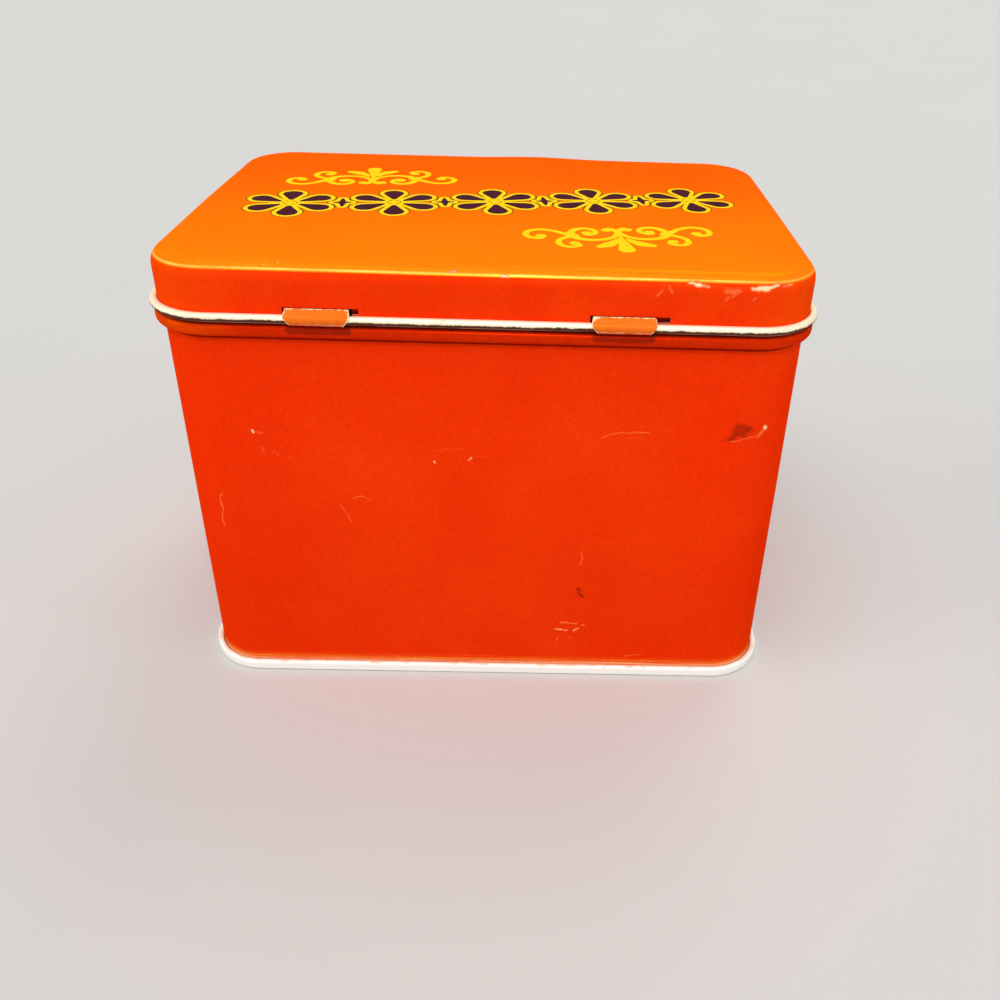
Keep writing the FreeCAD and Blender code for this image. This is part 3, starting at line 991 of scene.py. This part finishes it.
def hook_print(name, tones):
    """The print on a hinge hook, worn back to pale metal round its cut edges and its belly, and
    painted orange where it faces up as painted light.
    """
    net = Net(name)
    place = net.place()
    upward = net.parts(net.facing())[2]
    edge = net.term("ShaderNodeAttribute", {"attribute_name": "edge"}, None, "Fac")
    chipping = net.clouds(place, 1.3, 3.0, 0.6)
    patchy = net.clouds(place, 0.22, 2.0)
    grain = net.clouds(place, 2.4, 2.0)
    # Painted light: the hook turns from red to orange where it faces up.
    ground = net.mix(upward.step(-0.75, -0.30) * 0.78, tones.red, tones.orange_back)
    ground = net.mix(patchy * 0.06, ground, tones.worn)
    ground = net.shaded(ground, 0.72 + patchy * 0.12 + grain * 0.16)
    ragged = (chipping - 0.5) * 0.9 + (patchy - 0.5) * 0.8
    belly = (abs(upward + 0.55) * 1.6 + ragged * 1.3).step(0.40, 0.10)
    worn = (edge + ragged).step(0.24, 0.10).top(belly * 0.4)
    ground = net.mix(worn, ground, tones.worn)
    speck = net.cells(place, 0.8).step(0.10, 0.05)
    ground = net.mix(speck * 0.5, ground, tones.bruise_and_shade)
    gloss = 0.28 + grain * 0.1 + worn * 0.15
    relief = grain * 0.3 - worn
    return net.finish(Base_Color=ground, Roughness=gloss,
                      Normal=net.bump(relief, 0.012 * MM), **LACQUER)


# Printed ornament, drawn in millimetres about each motif's own middle


def smooth_path(points, parts=7):
    """A smooth line through given points."""
    ends = [2 * points[0] - points[1], *points, 2 * points[-1] - points[-2]]
    found = []
    for a, b, c, d in zip(ends, ends[1:], ends[2:], ends[3:]):
        for i in range(parts):
            t = i / parts
            found.append(0.5 * (2 * b + (c - a) * t + (2 * a - 5 * b + 4 * c - d) * t * t
                                + (3 * b - a - 3 * c + d) * t ** 3))
    return [*found, points[-1]]


def disc(centre, radius, parts=20):
    """A round spot."""
    return [centre + radius * Vector((math.cos(2 * math.pi * i / parts),
                                      math.sin(2 * math.pi * i / parts)))
            for i in range(parts)]


def ribbon(points, half_widths):
    """A stroke along a line, its half width eased from place to place."""
    path = smooth_path([Vector(p) for p in points])
    last = len(path) - 1
    left = []
    right = []
    for i, place in enumerate(path):
        ahead = (path[min(i + 1, last)] - path[max(i - 1, 0)]).normalized()
        side = Vector((-ahead.y, ahead.x))
        at = i / last * (len(half_widths) - 1)
        k = min(int(at), len(half_widths) - 2)
        half = half_widths[k] + (half_widths[k + 1] - half_widths[k]) * eased(0, 1, at - k)
        left.append(place + side * half)
        right.append(place - side * half)
    return left + right[::-1]


def drop(start, end, start_radius, end_radius, parts=12):
    """A drop: the outline round two spots."""
    start = Vector(start)
    end = Vector(end)
    ahead = end - start
    spread = math.acos((start_radius - end_radius) / ahead.length)
    facing = math.atan2(ahead.y, ahead.x)
    outline_points = []
    for centre, radius, first, turned in (
            (end, end_radius, facing - spread, 2 * spread),
            (start, start_radius, facing + spread, 2 * (math.pi - spread))):
        for i in range(parts + 1):
            angle = first + turned * i / parts
            outline_points.append(
                centre + radius * Vector((math.cos(angle), math.sin(angle))))
    return outline_points


# Right-hand half of the scroll: lines with their half widths, and the spots that end them
SCROLL_LINES = (
    (((-2.2, -2.75), (-1.2, -2.45), (-0.35, -0.9), (0.35, 1.0), (1.6, 3.1), (3.7, 4.5),
      (6.3, 4.8), (8.7, 4.0), (9.9, 2.4)), (0.55, 0.72, 0.62, 0.66, 0.95)),
    (((9.0, 1.6), (11.4, 2.7), (13.3, 4.7), (13.5, 7.3), (11.9, 9.1), (9.9, 8.5),
      (9.5, 7.2)), (0.9, 0.62, 0.66, 0.6, 0.7)),
    (((10.6, 3.2), (10.3, 0.2), (9.1, -2.2), (6.9, -3.1), (5.1, -1.9), (4.9, 0.1),
      (6.3, 1.4), (7.6, 0.7)), (0.9, 0.8, 0.66, 0.6, 0.6)),
    (((9.6, 1.6), (11.6, 0.3), (13.7, -1.7), (16.3, -2.8), (18.7, -2.0), (19.8, 0.1),
      (19.2, 2.3), (17.3, 3.1), (16.4, 2.4)), (1.0, 0.6, 0.66, 0.64, 0.6)),
)
SCROLL_SPOTS = (
    ((-2.25, -1.75), 1.12), ((10.35, 6.8), 1.15), ((6.75, 0.1), 1.15), ((16.7, 1.65), 1.2),
    ((10.1, 1.9), 1.45),
)
SCROLL_LEAF = (((1.0, 4.2), (1.9, 6.2), (3.5, 8.0), (5.4, 9.1)), (0.25, 0.9, 1.35, 0.9))
SCROLL_DROP = ((0.1, 2.6), (0.35, 11.4), 0.30, 1.72)
INK_TRAP = 0.16               # how far the gold edge shows round the yellow
PETAL = (2.9, 7.5, 0.55, 2.30)    # its inner and outer spot from the middle, and their radii
EYE = 1.3                     # radius of the spot in a flower's middle
STAR = (1.9, 3.1, 0.9, 0.25)  # reach across and up, then the middle's and the tips' radius


def scroll(extra):
    """The scroll's shapes, each this much fuller all round."""
    shapes = [drop(SCROLL_DROP[0], SCROLL_DROP[1], SCROLL_DROP[2] + extra,
                   SCROLL_DROP[3] + extra)]
    for side in (1, -1):
        half = []
        for points, widths in (*SCROLL_LINES, SCROLL_LEAF):
            half.append(ribbon(points, [w + extra for w in widths]))
        for centre, radius in SCROLL_SPOTS:
            half.append(disc(Vector(centre), radius + extra))
        half.append(disc(Vector(SCROLL_LEAF[0][-1]), SCROLL_LEAF[1][-1] + extra))
        shapes += [[Vector((side * p.x, p.y)) for p in shape] for shape in half]
    return shapes


def flower(extra):
    """Six petals round an open middle."""
    near, far, narrow, wide = PETAL
    shapes = []
    for i in range(6):
        angle = math.radians(90 + 60 * i)
        ahead = Vector((math.cos(angle), math.sin(angle)))
        shapes.append(drop(ahead * near, ahead * far, narrow + extra, wide + extra))
    return shapes


def star(extra):
    """A small star of four points."""
    across, up, middle, tip = STAR
    return [drop((0, 0), (across * x, up * y), middle + extra, tip + extra)
            for x, y in ((1, 0), (-1, 0), (0, 1), (0, -1))]


def lid_print(p):
    """Every printed shape of the lid, in metres, with its ink."""
    slant = Matrix.Rotation(p.tilt, 2)
    flip = Matrix.Rotation(math.pi, 2)
    found = []
    for place, spin in ((p.back_scroll, slant), (p.front_scroll, slant @ flip)):
        for extra, ink in ((INK_TRAP, GOLD_EDGE), (0.0, YELLOW)):
            found += stamped(scroll(extra), spin, Vector(place), ink)
    gold = p.outline / MM
    dark = gold + p.keyline / MM
    for i in range(-4, 5):
        motif = star if i % 2 else flower
        place = slant @ Vector((i * p.flower_pitch / 2, 0.0))
        for extra, ink in ((dark, KEYLINE), (gold, YELLOW), (0.0, PLUM)):
            found += stamped(motif(extra), slant, place, ink)
        if motif is flower:
            found += stamped([disc(Vector((0, 0)), EYE)], slant, place, YELLOW)
    return found


def stamped(shapes, spin, place, ink):
    """Shapes in millimetres put down on the lid."""
    return [([place + spin @ point * MM for point in shape], ink) for shape in shapes]


# Pieces


class CardBoxPiece:
    """What every building operator shares."""

    bl_options = {"REGISTER", "UNDO"}

    def execute(self, context):
        self.build(context.scene)
        return {"FINISHED"}


class CARDBOX_OT_body(CardBoxPiece, bpy.types.Operator):
    """Wrap the body sheet: wall, bead, neck and hemmed mouth"""

    bl_idname = "cardbox.body"
    bl_label = "Body sheet"

    def build(self, scene):
        s = scene.card_box
        h = scene.card_box_hooks
        tones = scene.card_box_colours
        line = body_line(s, h)
        windows = [
            (hook_middle(node) - h.width / 2 - h.side_gap,
             hook_middle(node) + h.width / 2 + h.side_gap,
             line.marks["window foot"], line.marks["window head"])
            for node in HOOKS.values()]
        lap_edge = -s.lap_shift - s.lap_width / 2
        groove = [lap_edge + step * GROOVE_STEP for step in range(-3, 4)]
        ring = outline(s, [x for window in windows for x in window[:2]], groove)
        mesh, _ = carried_round(line, ring, windows)
        low_bead = root_height(s, h) - s.bead_height
        for vertex in mesh.verts:
            buckle(vertex, s, low_bead, lap_edge)
        add_lap(mesh, s, low_bead)
        paint = printed("body_print", tones, pale=PALE_MARKS, dark=DARK_MARKS,
                        folds=(low_bead / MM, s.seam_height / MM))
        materials = [paint, bare_tin("inside_tin", tones)]
        body = grown(mesh, "body_sheet", s.sheet, materials, (1, 1))
        placed(settled(body), "body_wall", "box")


def hook_middle(node):
    """Middle of a hook across the box."""
    low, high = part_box(node)
    return (low.x + high.x) / 2


def buckle(vertex, s, low_bead, lap_edge):
    """The slight unevenness of the flat walls, and the groove of the side lap."""
    x, y, up = vertex.co
    height = hump(up, low_bead / 2, low_bead / 2)
    if height == 0.0:
        return
    for axis, value, other, reach, across in ((0, x, y, s.half_x, s.half_y),
                                              (1, y, x, s.half_y, s.half_x)):
        if reach - abs(value) > WALL_REACH:
            continue
        flat = hump(other, 0.0, across - s.corner_radius / 2)
        place = Vector((other / BUCKLE_ALONG, up / BUCKLE_UP,
                        3.0 * axis + math.copysign(1, value)))
        shift = BUCKLE * noise.noise(place) * math.sqrt(flat * height)
        if axis == 0 and value > 0:
            shift -= GROOVE_DEPTH * hump(other, lap_edge, GROOVE_REACH)
        vertex.co[axis] += math.copysign(1, value) * shift


def add_lap(mesh, s, low_bead):
    """The inner layer of the side lap, against the inside of the right-hand end."""
    inside = s.half_x + s.wall_middle - s.sheet
    low = s.countersink + s.end_sheet + s.panel_bend
    front = -s.lap_shift - s.lap_width / 2
    corners = [(front, low), (front + s.lap_width, low), (front + s.lap_width, low_bead),
               (front, low_bead)]
    mesh.faces.new([mesh.verts.new((inside, y, z)) for y, z in corners])


class CARDBOX_OT_base(CardBoxPiece, bpy.types.Operator):
    """Seam the enamelled base end onto the body"""

    bl_idname = "cardbox.base"
    bl_label = "Base end"

    def build(self, scene):
        s = scene.card_box
        tones = scene.card_box_colours
        line = base_line(s)
        mesh, grid = carried_round(line, outline(s))
        filled(mesh, [column[-1] for column in grid], line.points[-1].y)
        materials = [bare_tin("end_tin", tones), enamelled("end_enamel", tones)]
        base = grown(mesh, "base_end", s.end_sheet, materials, (1, 1))
        placed(settled(base), "base_panel", "box")


class CARDBOX_OT_lid(CardBoxPiece, bpy.types.Operator):
    """Draw the lid: printed top, bend and slotted skirt"""

    bl_idname = "cardbox.lid"
    bl_label = "Lid"

    def build(self, scene):
        s = scene.card_box
        h = scene.card_box_hooks
        tones = scene.card_box_colours
        line = lid_line(s, h)
        slots = []
        for side, node in HOOKS.items():
            middle = hook_middle(node)
            lip_end = middle - h.width / 2 - h.slot_lip_gap
            low = middle - getattr(h, f"slot_far_{side}")
            high = middle + h.slot_near
            slots.append((low, lip_end, line.marks["lip"], line.marks["slot head"]))
            slots.append((lip_end, high, line.marks["slot foot"], line.marks["slot head"]))
        breaks = sorted({x for slot in slots for x in slot[:2]})
        mesh, grid = carried_round(line, outline(s, breaks), slots)
        filled(mesh, [column[-1] for column in grid], line.points[-1].y,
               lid_print(scene.card_box_print))
        for vertex in mesh.verts:
            settle_top(vertex, s)
        materials = [
            printed("lid_ground", tones, pale=LID_MARKS),
            printed("gold_edge_ink", tones, tones.gold_edge),
            printed("keyline_ink", tones, tones.keyline),
            printed("yellow_ink", tones, tones.yellow),
            printed("plum_ink", tones, tones.plum),
            bare_tin("lid_tin", tones),
        ]
        last = len(materials) - 1
        lid = grown(mesh, "lid_sheet", s.sheet, materials, (last, last))
        placed(settled(lid), "lid_shell", "lid")


def settle_top(vertex, s):
    """The drawn top isn't quite flat: it sinks a little, most at the right-hand front corner."""
    x, y, up = vertex.co
    share = eased(s.height - s.top_bend - SINK_REACH, s.height - s.sheet / 2, up)
    front = eased(s.half_y * 0.2, -s.half_y, y)
    wave = hump(x, WAVE_PLACE, WAVE_REACH)
    sink = MIDDLE_SINK * hump(x, 0.0, s.half_x) * hump(y, 0.0, s.half_y)
    sink += front * (FRONT_SINK + CORNER_SINK * eased(0.0, s.half_x, x)) * (1.0 - wave)
    vertex.co.z -= share * sink * MM


class CARDBOX_OT_rolled_edge(CardBoxPiece, bpy.types.Operator):
    """Roll the lid's lower edge into the hinge's pin"""

    bl_idname = "cardbox.rolled_edge"
    bl_label = "Rolled edge"

    def build(self, scene):
        s = scene.card_box
        mesh, _ = carried_round(curl_line(s), outline(s))
        tones = scene.card_box_colours
        materials = [bare_tin("roll_tin", tones, dulled_and_shaded=True)]
        roll = grown(mesh, "rolled_edge", s.sheet, materials, (0, 0))
        placed(settled(roll), "lid_rim_curl", "lid")


class CARDBOX_OT_hooks(CardBoxPiece, bpy.types.Operator):
    """Bend the two hinge hooks round the rolled edge"""

    bl_idname = "cardbox.hooks"
    bl_label = "Hinge hooks"

    def build(self, scene):
        s = scene.card_box
        h = scene.card_box_hooks
        tones = scene.card_box_colours
        materials = [hook_print("hook_print", tones), bare_tin("hook_tin", tones)]
        for side, node in HOOKS.items():
            mesh = hook_mesh(s, h, hook_middle(node))
            hook = grown(mesh, f"hinge_hook_{side}", s.sheet, materials, (1, 1))
            soften = hook.modifiers.new("Worn edges", "BEVEL")
            soften.width = EDGE_ROUND
            soften.segments = 2
            soften.limit_method = "ANGLE"
            soften.angle_limit = EDGE_ANGLE
            placed(settled(hook), node, "box")


# Points across a hook, by its half width, and extra rows before its tip, by the tip's rounding
HOOK_COLUMNS = (-1.0, -0.97, -0.90, -0.75, -0.5, -0.25, 0.0, 0.25, 0.5, 0.75, 0.90, 0.97, 1.0)
TIP_ROWS = (0.75, 0.5, 0.3, 0.15, 0.05, 0.0)
ROOT_END = 1.2                # the root keeps its width to here: distance to the tip, by the flat


def hook_mesh(s, h, middle):
    """The hook's middle surface with its slanted shoulders and rounded tip corners."""
    rows = hook_rows(hook_line(s, h).points, h)
    total = travelled(rows)[-1]
    mesh = bmesh.new()
    edge = mesh.verts.layers.float.new("edge")
    grid = []
    for (out, up), gone in zip(rows, travelled(rows)):
        half = hook_half_width(s, h, up, out, total - gone)
        column = []
        for share in HOOK_COLUMNS:
            vertex = mesh.verts.new((middle + half * share, s.half_y + out, up))
            vertex[edge] = min(half * (1 - abs(share)), total - gone) / MM
            column.append(vertex)
        grid.append(column)
    for row, after in zip(grid, grid[1:]):
        for k in range(len(HOOK_COLUMNS) - 1):
            mesh.faces.new((row[k + 1], row[k], after[k], after[k + 1]))
    return mesh


def hook_rows(points, h):
    """The hook's line with the extra rows before its tip, where its outline turns."""
    rows = list(points[:-1])
    start, end = points[-2], points[-1]
    ahead = (end - start).normalized()
    for share in TIP_ROWS:
        place = end - ahead * h.tip_round * share
        if (place - rows[-1]).dot(ahead) > 0:
            rows.append(place)
    return rows


def travelled(rows):
    """Distance along a line at each of its points."""
    gone = [0.0]
    for a, b in zip(rows, rows[1:]):
        gone.append(gone[-1] + (b - a).length)
    return gone


def hook_half_width(s, h, up, out, to_tip):
    """Half the hook's width here: narrow in the root, full in the head, rounded at the tip."""
    high = s.hinge_up - hook_radius(s, h) * h.shoulder_place + h.chamfer / 2
    share = min(1.0, max(0.0, (up - high + h.chamfer) / h.chamfer))
    if out < s.hinge_out and to_tip > hook_flat(s, h) * ROOT_END:
        share = 0.0
    half = (h.root_width + (h.width - h.root_width) * share) / 2
    short = max(0.0, h.tip_round - to_tip)
    return half - h.tip_round + math.sqrt(h.tip_round ** 2 - short ** 2)


# Stage


FLOOR_RADIUS = 4.0            # metres, wide enough for its edge to be far off in every view
SKY_TINT = (1.0, 0.995, 0.985, 1.0)
# Each far soft lamp: which way it stands, and how wide it looks in degrees
LAMPS = (
    ("key", (0.10, 0.33, 0.93), 50),
    ("glint", (0.02, 0.64, 0.77), 7),
    ("level", (-0.12, 1.00, 0.42), 16),
    ("side", (1.00, 0.20, 0.36), 34),
    ("far_side", (-1.00, 0.30, 0.30), 20),
    ("fill", (-0.35, -0.75, 1.10), 30),
)


class CARDBOX_OT_stage(CardBoxPiece, bpy.types.Operator):
    """Set the floor, the soft light and the camera"""

    bl_idname = "cardbox.stage"
    bl_label = "Stage"

    def build(self, scene):
        stage = scene.card_box_stage
        add_floor(scene)
        add_sky(scene, stage)
        for name, towards, spread in LAMPS:
            add_lamp(scene, name, towards, spread, getattr(stage, name))
        add_camera(scene, stage)
        scene.view_settings.view_transform = "Standard"


def add_floor(scene):
    """A wide pale floor with the faint unevenness of painted board."""
    mesh = bmesh.new()
    bmesh.ops.create_circle(mesh, cap_ends=True, segments=96, radius=FLOOR_RADIUS)
    data = bpy.data.meshes.new("floor")
    mesh.to_mesh(data)
    mesh.free()
    floor = bpy.data.objects.new("floor", data)
    scene.collection.objects.link(floor)
    net = Net("floor_paint")
    place = net.place()
    cloudy = net.clouds(place, 0.008, 4.0)
    ground = net.shaded(scene.card_box_colours.floor, 0.97 + cloudy * 0.05)
    net.finish(Base_Color=ground, Roughness=0.75, Specular_IOR_Level=0.2)
    data.materials.append(net.material)


def add_sky(scene, stage):
    """Even light from all round, which cameras and gloss see as the pale backdrop."""
    world = bpy.data.worlds.new("even_light")
    world.use_nodes = True
    nodes = world.node_tree.nodes
    links = world.node_tree.links
    path = nodes.new("ShaderNodeLightPath")
    seen = path.outputs["Is Camera Ray"]
    for kind in ("Is Glossy Ray", "Is Transmission Ray"):
        either = nodes.new("ShaderNodeMath")
        either.operation = "MAXIMUM"
        links.new(seen, either.inputs[0])
        links.new(path.outputs[kind], either.inputs[1])
        seen = either.outputs[0]
    strength = nodes.new("ShaderNodeMapRange")
    strength.inputs["To Min"].default_value = stage.sky
    strength.inputs["To Max"].default_value = stage.backdrop
    links.new(seen, strength.inputs["Value"])
    background = nodes["Background"]
    background.inputs["Color"].default_value = SKY_TINT
    links.new(strength.outputs[0], background.inputs["Strength"])
    scene.world = world


def add_lamp(scene, name, towards, spread, strength):
    """A far soft lamp; at strength 1 it alone shows a white surface that faces it as white."""
    lamp = bpy.data.lights.new(name, "SUN")
    lamp.angle = math.radians(spread)
    lamp.energy = strength * math.pi
    holder = bpy.data.objects.new(name, lamp)
    holder.location = towards
    holder.rotation_euler = (-Vector(towards)).to_track_quat("-Z", "Y").to_euler()
    scene.collection.objects.link(holder)


def add_camera(scene, stage):
    """The camera behind the box, looking down on the hinge."""
    camera = bpy.data.cameras.new("camera")
    camera.lens = stage.lens
    camera.sensor_width = 36.0
    camera.shift_x = stage.shift_x
    camera.shift_y = stage.shift_y
    camera.clip_start = 0.01
    holder = bpy.data.objects.new("camera", camera)
    holder.matrix_world = (
        Matrix.Translation(Vector(stage.eye))
        @ Matrix.Rotation(math.pi + stage.yaw, 4, "Z")
        @ Matrix.Rotation(math.pi / 2 - stage.pitch, 4, "X")
        @ Matrix.Rotation(stage.roll, 4, "Z"))
    scene.collection.objects.link(holder)
    scene.camera = holder


class CARDBOX_PT_sidebar(bpy.types.Panel):
    """Lists the pieces of the card box"""

    bl_idname = "CARDBOX_PT_sidebar"
    bl_label = "Card box"
    bl_space_type = "VIEW_3D"
    bl_region_type = "UI"
    bl_category = "Card box"

    def draw(self, context):
        for operator in OPERATORS:
            self.layout.operator(operator.bl_idname)
        for name in GROUPS:
            values = getattr(context.scene, name)
            self.layout.label(text=values.bl_rna.name)
            for field in values.__annotations__:
                self.layout.prop(values, field)


OPERATORS = (CARDBOX_OT_body, CARDBOX_OT_base, CARDBOX_OT_lid, CARDBOX_OT_rolled_edge,
             CARDBOX_OT_hooks, CARDBOX_OT_stage)
GROUPS = {
    "card_box": CardBoxSizes,
    "card_box_hooks": CardBoxHooks,
    "card_box_print": CardBoxPrint,
    "card_box_colours": CardBoxColours,
    "card_box_stage": CardBoxStage,
}


def register():
    for made in (*GROUPS.values(), *OPERATORS, CARDBOX_PT_sidebar):
        bpy.utils.register_class(made)
    for name, group in GROUPS.items():
        setattr(bpy.types.Scene, name, PointerProperty(type=group))


def unregister():
    for name in GROUPS:
        delattr(bpy.types.Scene, name)
    for made in reversed((*GROUPS.values(), *OPERATORS, CARDBOX_PT_sidebar)):
        bpy.utils.unregister_class(made)


def main():
    register()
    bpy.ops.cardbox.body()
    bpy.ops.cardbox.base()
    bpy.ops.cardbox.lid()
    bpy.ops.cardbox.rolled_edge()
    bpy.ops.cardbox.hooks()
    bpy.ops.cardbox.stage()


if __name__ == "__main__":
    main()
